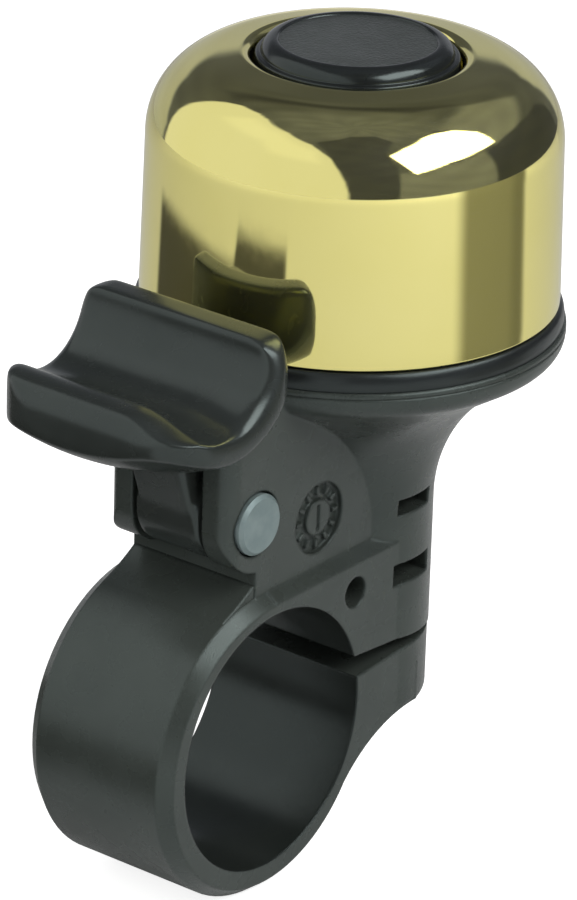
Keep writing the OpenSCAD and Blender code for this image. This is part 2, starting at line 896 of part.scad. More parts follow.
// Headed pin: the head fills the near ear's hole, the end is riveted over the far ear.
module hinge_pin() {
    head_end = pin_head_l - ears_w / 2;
    near = -ears_w / 2 - pin_proud;
    far = ears_w / 2 + pin_proud;
    edge = 0.3;
    color("#a9b4b6")
        translate([pin_x, 0, pin_z])
            rotate([-90, 0, 0])
                rotate_extrude()
                    polygon([
                        [0, near], [pin_head_r - edge, near], [pin_head_r, near + edge], [pin_head_r, head_end],
                        [pin_r, head_end], [pin_r, far - edge], [pin_r - edge, far], [0, far]
                    ]);
}

// Wire of the return spring: the moving leg lies in the inner arm, the coil wraps the pin and the
// fixed leg rests in the housing under the hub.
coil_steps = 16;
moving_leg_l = 4;
fixed_leg_l = 5;
coil_start = 106.5;
coil_end = 258 + 360 * coil_turns;
coil_n = round(coil_steps * (coil_end - coil_start) / 360);
coil_y0 = -coil_pitch * (coil_end - coil_start) / 720;
function coil_point(a) = [coil_r * cos(a), coil_y0 + coil_pitch * (a - coil_start) / 360, coil_r * sin(a)];
function coil_way(a) = [-sin(a), 0, cos(a)];
spring_path = concat(
    [for (s = [moving_leg_l, moving_leg_l / 2, 0.4]) coil_point(coil_start) - s * coil_way(coil_start)],
    [for (i = [0:coil_n]) coil_point(coil_start + (coil_end - coil_start) * i / coil_n)],
    [for (s = [0.4, fixed_leg_l / 2, fixed_leg_l]) coil_point(coil_end) + s * coil_way(coil_end)]
);

// Channel in the inner arm for the moving leg.
module spring_channel() {
    w = wire_d + 0.4;
    translate([pin_x, coil_y0 - w / 2, pin_z])
        rotate([0, 90 - coil_start, 0])
            translate([0, 0, coil_r - w / 2])
                cube([moving_leg_l + spring_play, w, w]);
}

module swept_wire(path, r, sides = 8) {
    n = len(path);
    way = [for (i = [0:n - 1]) let (d = path[min(i + 1, n - 1)] - path[max(i - 1, 0)]) d / norm(d)];
    points = [for (i = [0:n - 1]) let (v = cross(way[i], [0, 1, 0]), u = v / norm(v), w = cross(u, way[i]))
        for (k = [0:sides - 1]) path[i] + r * (cos(360 * k / sides) * u + sin(360 * k / sides) * w)];
    walls = [for (i = [0:n - 2]) for (k = [0:sides - 1])
        [i * sides + k, i * sides + (k + 1) % sides, (i + 1) * sides + (k + 1) % sides, (i + 1) * sides + k]];
    polyhedron(
        points = points,
        faces = concat(
            [[for (k = [0:sides - 1]) sides - 1 - k]],
            walls,
            [[for (k = [0:sides - 1]) (n - 1) * sides + k]]
        ),
        convexity = 6
    );
}

module return_spring() {
    color("#8f9294")
        translate([pin_x, 0, pin_z])
            swept_wire(spring_path, wire_d / 2);
}

// ---- Striker ----

module striker_leaf() {
    color("#c0c2c4")
        at_rest()
            difference() {
                translate([leaf_front, -leaf_w / 2, leaf_root])
                    cube([leaf_t, leaf_w, leaf_top - leaf_root]);
                translate([0, 0, rivet_h])
                    rotate([0, 90, 0])
                        cylinder(r = rivet_r + 0.2, h = leaf_front + leaf_t + over);
                translate([0, 0, hammer_h])
                    rotate([0, 90, 0])
                        cylinder(r = stem_r + thread_play, h = leaf_front + leaf_t + over);
            }
}

module leaf_rivet() {
    color("#b08d57")
        at_rest()
            translate([arm_front, 0, rivet_h])
                rotate([0, 90, 0]) {
                    cylinder(r = rivet_r, h = 2 * arm_half);
                    translate([0, 0, -0.4])
                        cylinder(r = rivet_r * 1.8, h = 0.4);
                    translate([0, 0, 2 * arm_half])
                        cylinder(r = rivet_r * 1.8, h = 0.3);
                }
}

module hammer() {
    face_r = 6;
    color("#8c8e90")
        at_rest()
            translate([hammer_face, 0, hammer_h])
                rotate([0, 90, 0]) {
                    intersection() {
                        cylinder(r = hammer_d / 2, h = hammer_l);
                        translate([0, 0, face_r])
                            sphere(r = face_r);
                    }
                    cylinder(r = stem_r, h = hammer_l + leaf_t + 0.2);
                    translate([0, 0, hammer_l + leaf_t])
                        cylinder(r = stem_r * 1.5, h = 0.4);
                }
}

housing();
trim_ring();
bell_dome();
dome_cap();
dome_screw();
dome_washer();
fibre_washer();
dome_nut();
clamp_screw();
clamp_washer();
clamp_nut();
thumb_lever();
hinge_pin();
return_spring();
striker_leaf();
leaf_rivet();
hammer();
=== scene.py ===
# Bicycle bell with a brass dome, a moulded clamp housing and a thumb lever.
import math

import bmesh
import bpy
import numpy as np
from mathutils import Matrix, Vector


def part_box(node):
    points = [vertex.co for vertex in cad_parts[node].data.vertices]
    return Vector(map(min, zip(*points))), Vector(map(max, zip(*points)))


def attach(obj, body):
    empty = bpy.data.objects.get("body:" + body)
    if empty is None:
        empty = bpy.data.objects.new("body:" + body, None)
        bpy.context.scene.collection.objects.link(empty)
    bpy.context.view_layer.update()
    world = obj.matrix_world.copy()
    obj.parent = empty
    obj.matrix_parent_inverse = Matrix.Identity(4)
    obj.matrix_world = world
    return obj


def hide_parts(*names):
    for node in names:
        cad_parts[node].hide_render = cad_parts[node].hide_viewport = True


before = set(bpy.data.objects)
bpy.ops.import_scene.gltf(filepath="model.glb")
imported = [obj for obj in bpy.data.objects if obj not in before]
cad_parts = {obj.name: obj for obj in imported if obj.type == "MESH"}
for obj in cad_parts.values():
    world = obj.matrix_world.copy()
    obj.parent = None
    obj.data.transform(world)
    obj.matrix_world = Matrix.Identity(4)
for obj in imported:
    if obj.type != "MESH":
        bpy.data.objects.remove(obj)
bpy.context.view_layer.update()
bpy.ops.object.select_all(action="DESELECT")

# ---- Camera ----
# A long lens at some 45 cm, in front of the bell on the lever's side and a little above it,
# so that the lever's near end, the clamp's bore and the dome's top all show.
camera_place = Vector((-0.314978, -0.251626, 0.200922))
sight_azimuth, sight_elevation, camera_tilt = 217.6978, 23.7003, 1.7696


def direction(azimuth, elevation):
    """Unit vector out from the bell, by its degrees round from +X and up from level."""
    a, e = math.radians(azimuth), math.radians(elevation)
    return Vector((math.cos(a) * math.cos(e), math.sin(a) * math.cos(e), math.sin(e)))


camera_data = bpy.data.cameras.new("camera")
camera_data.lens = 217.2
camera_data.sensor_width = 36
camera_data.clip_start = 0.01
camera_data.clip_end = 20
camera = bpy.data.objects.new("camera", camera_data)
bpy.context.scene.collection.objects.link(camera)
level_sight = direction(sight_azimuth, sight_elevation).to_track_quat("Z", "Y").to_matrix().to_4x4()
camera.matrix_world = (Matrix.Translation(camera_place) @ level_sight
                       @ Matrix.Rotation(math.radians(camera_tilt), 4, "Z"))
bpy.context.scene.camera = camera

# ---- Table ----
# A round white table top under the clamp. The camera sees it lifted to white, and it keeps the
# bell's soft shadow. Reflections also see a darker brown patch in front of the window, and behind
# the bell a painted shadow of it: a dark half-round painted into the table's colour.
dome_low, dome_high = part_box("bell_dome")
dome_x = (dome_low.x + dome_high.x) / 2
table_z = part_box("housing")[0].z - 0.0001
table_r, table_cells = 0.42, 240
near_tone, far_painted_lift = 0.79, 0.15
brown_patch_tone, deep_tone, painted_shadow_tone = (0.245, 0.245, 0.21), (0.19, 0.19, 0.16), (0.08, 0.08, 0.075)
white_seen, white_lift = (0.86, 0.86, 0.85, 1), 0.8


def soft_step(values, edge, softness):
    """0 below the edge and 1 above it, with a smooth rise of that width between them."""
    t = np.clip((values - edge) / softness + 0.5, 0, 1)
    return t * t * (3 - 2 * t)


def soft_band(values, start, start_softness, end, end_softness):
    """1 between two soft edges and 0 outside them."""
    return soft_step(values, start, start_softness) * (1 - soft_step(values, end, end_softness))


def points_of(mesh):
    """The mesh's points as rows of x, y and z."""
    places = np.empty(len(mesh.vertices) * 3, np.float32)
    mesh.vertices.foreach_get("co", places)
    return places.reshape(-1, 3)


def paint_points(mesh, name, colours):
    """Keeps a colour at each of the mesh's points as a named attribute."""
    mesh.attributes.new(name, "FLOAT_COLOR", "POINT").data.foreach_set("color", colours.ravel())


def bare_nodes(owner, output_kind):
    """Empties a material's or world's node tree and gives it a new output node."""
    owner.use_nodes = True
    nodes, links = owner.node_tree.nodes, owner.node_tree.links
    nodes.clear()
    return nodes, links, nodes.new(output_kind)


bpy.ops.mesh.primitive_grid_add(x_subdivisions=table_cells, y_subdivisions=table_cells,
                                size=2 * table_r, location=(dome_x, 0, table_z))
table = bpy.context.object
table.name = "table_top"
spots = points_of(table.data).astype(float)
reach = np.hypot(spots[:, 0], spots[:, 1])
ways = np.degrees(np.arctan2(spots[:, 1], spots[:, 0]))
round_ways = ways % 360
# By degrees round from +X, the brown patch lies from -84 to -41, deeper in tone from -50 on, and
# the painted shadow, a dark half-round, from 95 to 184. Both start a little way out from the bell.
brown_patch = soft_band(ways, -84, 10, -41, 6) * soft_step(reach, 0.1, 0.02)
deep = brown_patch * soft_step(ways, -50, 8)
painted_shadow_edge = 0.165 + 0.012 * soft_step(round_ways, 155, 3)
# dark is the mask of the bell's painted shadow on the table.
dark = soft_band(round_ways, 95, 4, 184, 2) * soft_band(reach, 0.05, 0.02, painted_shadow_edge, 0.006)
# Far out, from 90 degrees round on, the table's colour is painted lighter: painted light that makes
# up for the window lamp's light falling off there.
far_painted_light = soft_step(reach, 0.24, 0.2) * soft_step(round_ways, 90, 20)
shade = np.ones((len(spots), 4))
shade[:, :3] *= (near_tone + far_painted_lift * far_painted_light)[:, None]
for part, tone in ((brown_patch, brown_patch_tone), (deep, deep_tone), (dark, painted_shadow_tone)):
    shade[:, :3] += (np.array(tone) - shade[:, :3]) * part[:, None]
# The tone attribute holds the table's own tone with the brown patch, the painted shadow and the far
# side's painted light.
paint_points(table.data, "tone", shade)
bpy.ops.object.mode_set(mode="EDIT")
edit = bmesh.from_edit_mesh(table.data)
for face in edit.faces:
    face.select_set(face.calc_center_median().length > table_r)
bpy.ops.mesh.delete(type="FACE")
bpy.ops.object.mode_set(mode="OBJECT")

table_paint = bpy.data.materials.new("table_white")
nodes, links, out = bare_nodes(table_paint, "ShaderNodeOutputMaterial")
matt = nodes.new("ShaderNodeBsdfDiffuse")
toned = nodes.new("ShaderNodeAttribute")
toned.attribute_name = "tone"
seen = nodes.new("ShaderNodeLightPath")
pale = nodes.new("ShaderNodeMix")
pale.data_type = "RGBA"
pale.inputs["B"].default_value = white_seen
lift = nodes.new("ShaderNodeEmission")
level = nodes.new("ShaderNodeMath")
level.operation = "MULTIPLY"
level.inputs[1].default_value = white_lift
both = nodes.new("ShaderNodeAddShader")
links.new(seen.outputs["Is Camera Ray"], pale.inputs["Factor"])
links.new(toned.outputs["Color"], pale.inputs["A"])
links.new(pale.outputs["Result"], matt.inputs["Color"])
links.new(seen.outputs["Is Camera Ray"], level.inputs[0])
links.new(level.outputs[0], lift.inputs["Strength"])
links.new(matt.outputs[0], both.inputs[0])
links.new(lift.outputs[0], both.inputs[1])
links.new(both.outputs[0], out.inputs["Surface"])
table.data.materials.append(table_paint)

# ---- Studio ----
# A light tent round the table that only reflections see: a tall pale panel behind the lever,
# a bright window on the near side and dark gaps between them. Lamps in the same places give
# the light, the window's by far the strongest.
tent_r, lamp_r = 0.6, 0.55
tent_centre = Vector((dome_x, 0, (dome_low.z + dome_high.z) / 2))
cloth_glow, top_glow, top_from, top_run = 0.095, 0.05, 55, 20
fold_share, red_loss, blue_gain = 0.12, 0.06, 0.24
room_glow = 0.14
tent_panels = [
    # brightness, softness in degrees, then the corners as azimuth and elevation
    # dim cloth on the far side, and a darker fold in it
    (0.085, 8, [(-60, 15), (95, 15), (95, 62), (-60, 62)]),
    (0.045, 8, [(15, 60), (45, 58), (80, 48), (70, 42), (40, 52), (10, 50)]),
    # lighter cloth beyond the window
    (0.20, 7, [(-52, 26), (-30, 24), (0, 30), (4, 50), (-20, 60), (-52, 62)]),
    # low panel on the far side, with a brighter strip in its middle
    (0.42, 4, [(4, -40), (9, 12), (14, 18), (38, 21), (68, 19), (84, 10), (92, 2), (92, -40)]),
    (0.80, 8, [(30, -40), (30, -5), (38, 3), (46, -5), (46, -40)]),
    # dark gap low beyond the window, and half-lit cloth under it
    (0.045, 3, [(-63, -40), (-62, 25), (-40, 28), (-24, 25), (-5, 17), (0, 8), (3, -40)]),
    (0.19, 4, [(-122, -40), (-122, 24), (-61, 27), (-61, -40)]),
    # tall pale panel behind the lever, lighter in its upper part
    (0.78, 1.5, [(93, -40), (95, 0), (92, 18), (90, 34), (87, 46), (87, 52), (98, 59), (112, 62),
                 (150, 63), (168, 60), (182, 57.5), (190, 53), (197, 48), (203, 43), (208, 34),
                 (212, 22), (214, 10), (216, -5), (216, -40)]),
    (0.86, 9, [(110, 42), (150, 45), (165, 36), (196, 36), (190, 50), (150, 60), (112, 57)]),
    # dark gap between that panel and the window
    (0.055, 2, [(-145, -40), (-145, 0), (-147, 14), (-151, 28), (-157, 42), (-165, 54),
                (-178, 62), (-150, 76), (-112, 76), (-104, 66), (-115, 58), (-119, 50),
                (-117, 30), (-120, -40)]),
    # window
    (5.0, 1, [(-118, 48), (-108, 22), (-86, 28), (-50, 30), (-46, 45), (-49, 56), (-60, 61),
              (-76, 62), (-104, 55)]),
]


def tent_glow(azimuths, elevations):
    """Brightness of the tent's cloth in each direction, later panels over earlier ones."""
    glow = cloth_glow + top_glow * np.clip((elevations - top_from) / top_run, 0, 1)
    for bright, softness, corners in tent_panels:
        inside = np.zeros(len(azimuths), bool)
        nearest = np.full(len(azimuths), 1e9)
        middle = sum(a for a, _ in corners) / len(corners)
        along = (azimuths - middle + 180) % 360 - 180 + middle
        for (a0, e0), (a1, e1) in zip(corners, corners[1:] + corners[:1]):
            crosses = (e0 > elevations) != (e1 > elevations)
            at = a0 + (elevations - e0) * (a1 - a0) / ((e1 - e0) or 1e-9)
            inside ^= crosses & (along < at)
            da, de = a1 - a0, e1 - e0
            t = ((along - a0) * da + (elevations - e0) * de) / (da * da + de * de)
            t = np.clip(t, 0, 1)
            away = np.hypot(along - a0 - t * da, elevations - e0 - t * de)
            nearest = np.minimum(nearest, away)
        glow += (bright - glow) * soft_step(np.where(inside, nearest, -nearest), 0, softness)
    return glow


bpy.ops.mesh.primitive_uv_sphere_add(segments=288, ring_count=144, radius=tent_r,
                                     location=tent_centre)
tent = bpy.context.object
tent.name = "light_tent"
spots = points_of(tent.data).astype(float)
azimuths = np.degrees(np.arctan2(spots[:, 1], spots[:, 0]))
elevations = np.degrees(np.arcsin(np.clip(spots[:, 2] / tent_r, -1, 1)))
glow = tent_glow(azimuths, elevations)
# The dim cloth hangs in wide folds and is a little bluer than the bright panels.
dim = 1 - np.clip((glow - 0.15) / 0.4, 0, 1)
folds = (np.sin(azimuths * 0.15 + 2.2 * np.sin(elevations * 0.11))
         * np.sin(elevations * 0.34 + 1.6 * np.sin(azimuths * 0.06)))
glow *= 1 + fold_share * folds * dim
red, blue = glow * (1 - red_loss * dim), glow * (1 + blue_gain * dim)
paint_points(tent.data, "glow", np.stack([red, glow, blue, np.ones(len(glow))], 1))
tent_cloth = bpy.data.materials.new("tent_cloth")
nodes, links, out = bare_nodes(tent_cloth, "ShaderNodeOutputMaterial")
cloth = nodes.new("ShaderNodeEmission")
painted = nodes.new("ShaderNodeAttribute")
painted.attribute_name = "glow"
links.new(painted.outputs["Color"], cloth.inputs["Color"])
links.new(cloth.outputs[0], out.inputs["Surface"])
tent.data.materials.append(tent_cloth)
tent.visible_camera = False
tent.visible_diffuse = False
tent.visible_shadow = False
tent.visible_transmission = False

# The room outside the tent is dim, but pale where it is looked at straight or through glass.
world = bpy.data.worlds.new("room")
bpy.context.scene.world = world
nodes, links, out = bare_nodes(world, "ShaderNodeOutputWorld")
air = nodes.new("ShaderNodeBackground")
seen = nodes.new("ShaderNodeLightPath")
looked_at = nodes.new("ShaderNodeMath")
looked_at.operation = "MAXIMUM"
level = nodes.new("ShaderNodeMapRange")
level.inputs["To Min"].default_value = room_glow
level.inputs["To Max"].default_value = 1
links.new(seen.outputs["Is Camera Ray"], looked_at.inputs[0])
links.new(seen.outputs["Is Transmission Ray"], looked_at.inputs[1])
links.new(looked_at.outputs[0], level.inputs["Value"])
links.new(level.outputs["Result"], air.inputs["Strength"])
links.new(air.outputs[0], out.inputs["Surface"])
bpy.context.scene.view_settings.view_transform = "Standard"


def soft_lamp(name, azimuth, elevation, width, height, brightness):
    """A rectangular lamp that faces the bell, of the given brightness over its face."""
    data = bpy.data.lights.new(name, "AREA")
    data.shape = "RECTANGLE"
    data.size = width
    data.size_y = height
    data.energy = brightness * math.pi * width * height
    lamp = bpy.data.objects.new(name, data)
    bpy.context.scene.collection.objects.link(lamp)
    way = direction(azimuth, elevation)
    lamp.location = tent_centre + way * lamp_r
    lamp.rotation_euler = way.to_track_quat("Z", "Y").to_euler()
    lamp.visible_glossy = False


soft_lamp("window_lamp", azimuth=-83, elevation=42, width=0.55, height=0.36, brightness=4.4)
soft_lamp("panel_lamp", azimuth=155, elevation=28, width=1.0, height=0.6, brightness=1.15)

# ---- Housing ----
# Clamp ring, column, ears and flare are one moulding in dark charcoal nylon, with a fine satin
# skin from the tool's spark-eroded faces.
mm = 0.001
bore_r = 11.35 * mm


def finish_nodes(name):
    """A new material with its shader and its Object coordinates."""
    material = bpy.data.materials.new(name)
    material.use_nodes = True
    tree = material.node_tree
    shader = tree.nodes["Principled BSDF"]
    place = tree.nodes.new("ShaderNodeTexCoord")
    return material, tree.nodes, tree.links, shader, place


def grain(nodes, links, place, scale, detail):
    """A noise pattern fixed to the piece, mostly between 0.3 and 0.7."""
    noise = nodes.new("ShaderNodeTexNoise")
    noise.inputs["Scale"].default_value = scale
    noise.inputs["Detail"].default_value = detail
    links.new(place.outputs["Object"], noise.inputs["Vector"])
    return noise.outputs["Fac"]


def spread(nodes, links, pattern, low, high):
    """Stretches a noise pattern to run from low to high."""
    ramp = nodes.new("ShaderNodeMapRange")
    ramp.inputs["From Min"].default_value = 0.3
    ramp.inputs["From Max"].default_value = 0.7
    ramp.inputs["To Min"].default_value = low
    ramp.inputs["To Max"].default_value = high
    links.new(pattern, ramp.inputs["Value"])
    return ramp.outputs["Result"]


def clouded(nodes, links, place, scale, detail, dark, light):
    """A colour that drifts between two tones in soft clouds."""
    tint = nodes.new("ShaderNodeMix")
    tint.data_type = "RGBA"
    tint.inputs["A"].default_value = dark
    tint.inputs["B"].default_value = light
    clouds = grain(nodes, links, place, scale, detail)
    links.new(spread(nodes, links, clouds, 0, 1), tint.inputs["Factor"])
    return tint.outputs["Result"]


def pressed_in(nodes, links, shader, pattern, depth):
    """Presses a pattern of that depth into the surface, and gives back the bump node."""
    bump = nodes.new("ShaderNodeBump")
    bump.inputs["Distance"].default_value = depth
    links.new(pattern, bump.inputs["Height"])
    links.new(bump.outputs["Normal"], shader.inputs["Normal"])
    return bump


def away_from_axis(nodes, links, place, axis, middle):
    """Distance from a line along the named axis through a point."""
    shift = nodes.new("ShaderNodeVectorMath")
    shift.operation = "SUBTRACT"
    shift.inputs[1].default_value = middle
    flat = nodes.new("ShaderNodeVectorMath")
    flat.operation = "MULTIPLY"
    flat.inputs[1].default_value = (1, 0, 1) if axis == "Y" else (1, 1, 0)
    length = nodes.new("ShaderNodeVectorMath")
    length.operation = "LENGTH"
    links.new(place.outputs["Object"], shift.inputs[0])
    links.new(shift.outputs["Vector"], flat.inputs[0])
    links.new(flat.outputs["Vector"], length.inputs[0])
    return length.outputs["Value"]


def inside_radius(nodes, links, distance, radius):
    """1 inside the radius and 0 outside it."""
    mask = nodes.new("ShaderNodeMath")
    mask.operation = "LESS_THAN"
    mask.inputs[1].default_value = radius
    links.new(distance, mask.inputs[0])
    return mask.outputs["Value"]


def changed_inside(nodes, links, mask, outside, inside):
    """The outside number, changed to the inside one where the mask is 1."""
    mix = nodes.new("ShaderNodeMix")
    mix.inputs["A"].default_value = outside
    mix.inputs["B"].default_value = inside
    links.new(mask, mix.inputs["Factor"])
    return mix.outputs["Result"]


def moulded_plastic(name, dark, light, rough_low, rough_high, grain_scale, grain_depth,
                    soft_edge=0, special=None):
    """Moulded skin: clouded colour, uneven gloss, a fine grain and softly rounded edges.
    special changes it within a radius of a line: (axis, point on it, radius, share of the
    colour, share of the roughness, grain depth)."""
    material, nodes, links, shader, place = finish_nodes(name)
    colour = clouded(nodes, links, place, 160, 4, dark, light)
    rough = spread(nodes, links, grain(nodes, links, place, 420, 3), rough_low, rough_high)
    skin = grain(nodes, links, place, grain_scale, 2)
    bump = pressed_in(nodes, links, shader, skin, grain_depth)
    if special:
        axis, middle, radius, colour_share, rough_share, inner_depth = special
        away = away_from_axis(nodes, links, place, axis, middle)
        mask = inside_radius(nodes, links, away, radius)
        toned = nodes.new("ShaderNodeVectorMath")
        toned.operation = "SCALE"
        links.new(colour, toned.inputs[0])
        links.new(changed_inside(nodes, links, mask, 1, colour_share), toned.inputs["Scale"])
        colour = toned.outputs["Vector"]
        scaled = nodes.new("ShaderNodeMath")
        scaled.operation = "MULTIPLY"
        links.new(rough, scaled.inputs[0])
        links.new(changed_inside(nodes, links, mask, 1, rough_share), scaled.inputs[1])
        rough = scaled.outputs["Value"]
        depth = changed_inside(nodes, links, mask, grain_depth, inner_depth)
        links.new(depth, bump.inputs["Distance"])
    links.new(colour, shader.inputs["Base Color"])
    links.new(rough, shader.inputs["Roughness"])
    if soft_edge:
        edge = nodes.new("ShaderNodeBevel")
        edge.samples = 6
        edge.inputs["Radius"].default_value = soft_edge
        links.new(edge.outputs["Normal"], bump.inputs["Normal"])
    shader.inputs["IOR"].default_value = 1.55
    shader.inputs["Specular Tint"].default_value = (0.84, 1, 0.98, 1)
    return material


def give(node, material):
    """Puts the material on a node that keeps its CAD mesh."""
    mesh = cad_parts[node].data
    mesh.materials.clear()
    mesh.materials.append(material)


def drawn_line(name, points):
    """Starts a piece in edit mode as a line of edges, extruded from point to point."""
    bpy.ops.object.select_all(action="DESELECT")
    bpy.ops.mesh.primitive_plane_add(size=2 * mm, location=(0, 0, 0))
    piece = bpy.context.object
    piece.name = name
    piece.data.name = name
    bpy.ops.object.mode_set(mode="EDIT")
    bpy.ops.mesh.select_mode(type="VERT")
    bpy.ops.mesh.select_all(action="SELECT")
    bpy.ops.mesh.merge(type="CENTER")
    bpy.ops.transform.translate(value=points[0])
    for here, there in zip(points, points[1:]):
        step = tuple(b - a for a, b in zip(here, there))
        bpy.ops.mesh.extrude_region_move(TRANSFORM_OT_translate={"value": step})
    bpy.ops.mesh.select_all(action="SELECT")
    return piece


# The bore is smoother than the rest, from the polished core that shapes it, and its colour is
# darkened there as painted shade inside the hollow.
bore_shade_and_polish = ("Y", (0, 0, 0), bore_r + 0.05 * mm, 0.4, 0.75, 0.01 * mm)
housing_plastic = moulded_plastic(
    "charcoal_nylon", (0.034, 0.040, 0.035, 1), (0.044, 0.0515, 0.0455, 1), 0.24, 0.32,
    9000, 0.01 * mm, soft_edge=0.4 * mm, special=bore_shade_and_polish)
give("housing", housing_plastic)

# Fillet between the block's front and the ring, right across the ears' width. Its upper line
# leaves the ring's curve in front and sweeps up to the block behind.
fillet_front, fillet_back = -6.2 * mm, -1.4 * mm
fillet_rise, fillet_sink = 1.16 * mm, 0.02 * mm
fillet_half, fillet_border = 6.3 * mm, 0.15 * mm
fillet_depth, fillet_root_z = 0.5 * mm, 12.0 * mm
ring_out, ring_x, ring_z = 13.45 * mm, -0.25 * mm, -0.4 * mm
fillet_line = []
for i in range(17):
    t = i / 16
    x = fillet_back + (fillet_front - fillet_back) * t
    on_ring = ring_z + math.sqrt(ring_out ** 2 - (x - ring_x) ** 2)
    z = on_ring + fillet_rise * (1 - t) ** 2.6 - fillet_sink * t
    fillet_line.append((x, -fillet_half, z))
fillet_line.append((fillet_front, -fillet_half, fillet_line[-1][2] - fillet_depth))
fillet_line.append((fillet_back, -fillet_half, fillet_root_z))
fillet_piece = drawn_line("housing_front_fillet", fillet_line)
bpy.ops.mesh.edge_face_add()
for width in (fillet_border, 2 * (fillet_half - fillet_border), fillet_border):
    bpy.ops.mesh.extrude_region_move(TRANSFORM_OT_translate={"value": (0, width, 0)})
bpy.ops.mesh.select_all(action="SELECT")
bpy.ops.mesh.normals_make_consistent(inside=False)
bpy.ops.object.mode_set(mode="OBJECT")
for face in fillet_piece.data.polygons:
    face.use_smooth = len(face.vertices) == 4
fillet_piece.data.materials.append(housing_plastic)
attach(fillet_piece, "bell")

# ---- Trim ring ----
# Plain black plastic band pressed over the housing's spigot under the dome, darker and
# glossier than the housing. The housing's flange runs a little way up round its foot.


def turned_piece(name, outline, steps=224):
    """Spins a line of (radius, height) points about the dome's axis."""
    piece = drawn_line(name, [(dome_x + r, 0, z) for r, z in outline])
    bpy.ops.mesh.spin(steps=steps, angle=2 * math.pi, center=(dome_x, 0, 0), axis=(0, 0, 1))
    bpy.ops.mesh.select_all(action="SELECT")
    bpy.ops.mesh.remove_doubles(threshold=0.002 * mm)
    bpy.ops.mesh.normals_make_consistent(inside=False)
    bpy.ops.object.mode_set(mode="OBJECT")
    bpy.ops.object.shade_smooth_by_angle(angle=math.radians(32))
    return piece


def arc(centre_r, centre_z, radius, start, end, steps):
    """Points of an arc in radius and height, in degrees from straight outwards."""
    points = []
    for i in range(steps + 1):
        a = math.radians(start + (end - start) * i / steps)
        points.append((centre_r + radius * math.cos(a), centre_z + radius * math.sin(a)))
    return points


trim_low, trim_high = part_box("trim_ring")
trim_r = (trim_high.x - trim_low.x) / 2
spigot_r = 15.65 * mm
rim_top = trim_low.z + 0.5 * mm
band_r = trim_r - 0.05 * mm
band_foot_r = trim_r - 0.12 * mm
bulge_in, bulge_z = 0.48 * mm, rim_top + 0.4 * mm
bulge_h = trim_high.z - bulge_z
trim_outline = [(spigot_r, rim_top), (band_foot_r, rim_top), (band_r, bulge_z)]
for i in range(1, 11):
    a = math.radians(9 * i)
    trim_outline.append((band_r - bulge_in * (1 - math.cos(a)), bulge_z + bulge_h * math.sin(a)))
trim_outline += [(spigot_r, trim_high.z), (spigot_r, rim_top)]
trim_band = turned_piece("trim_ring_band", trim_outline)
trim_plastic = moulded_plastic(
    "trim_black", (0.010, 0.011, 0.011, 1), (0.014, 0.015, 0.015, 1), 0.28, 0.36,
    7000, 0.006 * mm)
trim_band.data.materials.append(trim_plastic)
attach(trim_band, "bell")
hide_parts("trim_ring")

flange_r = trim_r + 0.13 * mm
flange_round = 0.2 * mm
rim_outline = [(spigot_r, trim_low.z), (flange_r, trim_low.z), (flange_r, rim_top - 0.25 * mm)]
rim_outline += arc(flange_r - flange_round, rim_top - flange_round, flange_round, 0, 90, 5)
rim_outline += [(spigot_r, rim_top), (spigot_r, trim_low.z)]
flange_rim = turned_piece("housing_flange_rim", rim_outline)
flange_rim.data.materials.append(housing_plastic)
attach(flange_rim, "bell")

# ---- Dome ----
# Spun from brass sheet a little over a millimetre thick, polished to a mirror outside and
# lacquered. The top is pressed into a dish that takes the cap.
lip_z = dome_low.z
lip_foot = lip_z - 0.22 * mm
lip_round = 0.25 * mm
dome_r = (dome_high.x - dome_low.x) / 2
wide_r = dome_r - 0.005 * mm
foot_r = dome_r - 0.3 * mm
wall = 1.1 * mm
shoulder_r = 6.9 * mm
turn_r = foot_r - shoulder_r
turn_z = lip_z + 20.6 * mm - shoulder_r
crown_z = lip_z + 20.8 * mm
crown_run, crown_fall = 0.25 * mm, 0.03 * mm
dish_r = 8.7 * mm
dish_z = crown_z - 2.8 * mm
dish_round = 0.5 * mm
roll_r = 0.8 * mm
hole_r = 1.35 * mm


def down_to(points, r, z, steps):
    """Adds evenly spaced points from the outline's last point to a new one."""
    r0, z0 = points[-1]
    for i in range(1, steps + 1):
        points.append((r0 + (r - r0) * i / steps, z0 + (z - z0) * i / steps))


# From the hole across the dish, over the rolled crown and the shoulder, down to the lip, and
# back up inside.
dome_outline = [(hole_r, dish_z)]
down_to(dome_outline, dish_r - dish_round, dish_z, 6)
dome_outline += arc(dish_r - dish_round, dish_z + dish_round, dish_round, -90, 0, 5)[1:]
down_to(dome_outline, dish_r, crown_z - roll_r, 2)
dome_outline += arc(dish_r + roll_r, crown_z - roll_r, roll_r, 180, 92, 10)[1:]
dome_outline += [(dish_r + roll_r + crown_run, crown_z - crown_fall)]
dome_outline += arc(turn_r, turn_z, shoulder_r, 84, 0, 40)
down_to(dome_outline, wide_r, lip_foot + lip_round, 12)
dome_outline += arc(dome_r - lip_round, lip_foot + lip_round, lip_round, 0, -90, 5)[1:]
down_to(dome_outline, dome_r - wall, lip_foot, 1)
down_to(dome_outline, foot_r - wall, turn_z, 6)
dome_outline += arc(turn_r, turn_z, shoulder_r - wall, 0, 90, 16)[1:]
dome_outline += [(dish_r + wall, turn_z + shoulder_r - wall), (dish_r + wall, dish_z - wall),
                 (hole_r, dish_z - wall), (hole_r, dish_z)]
brass_dome = turned_piece("bell_dome_brass", dome_outline, 288)

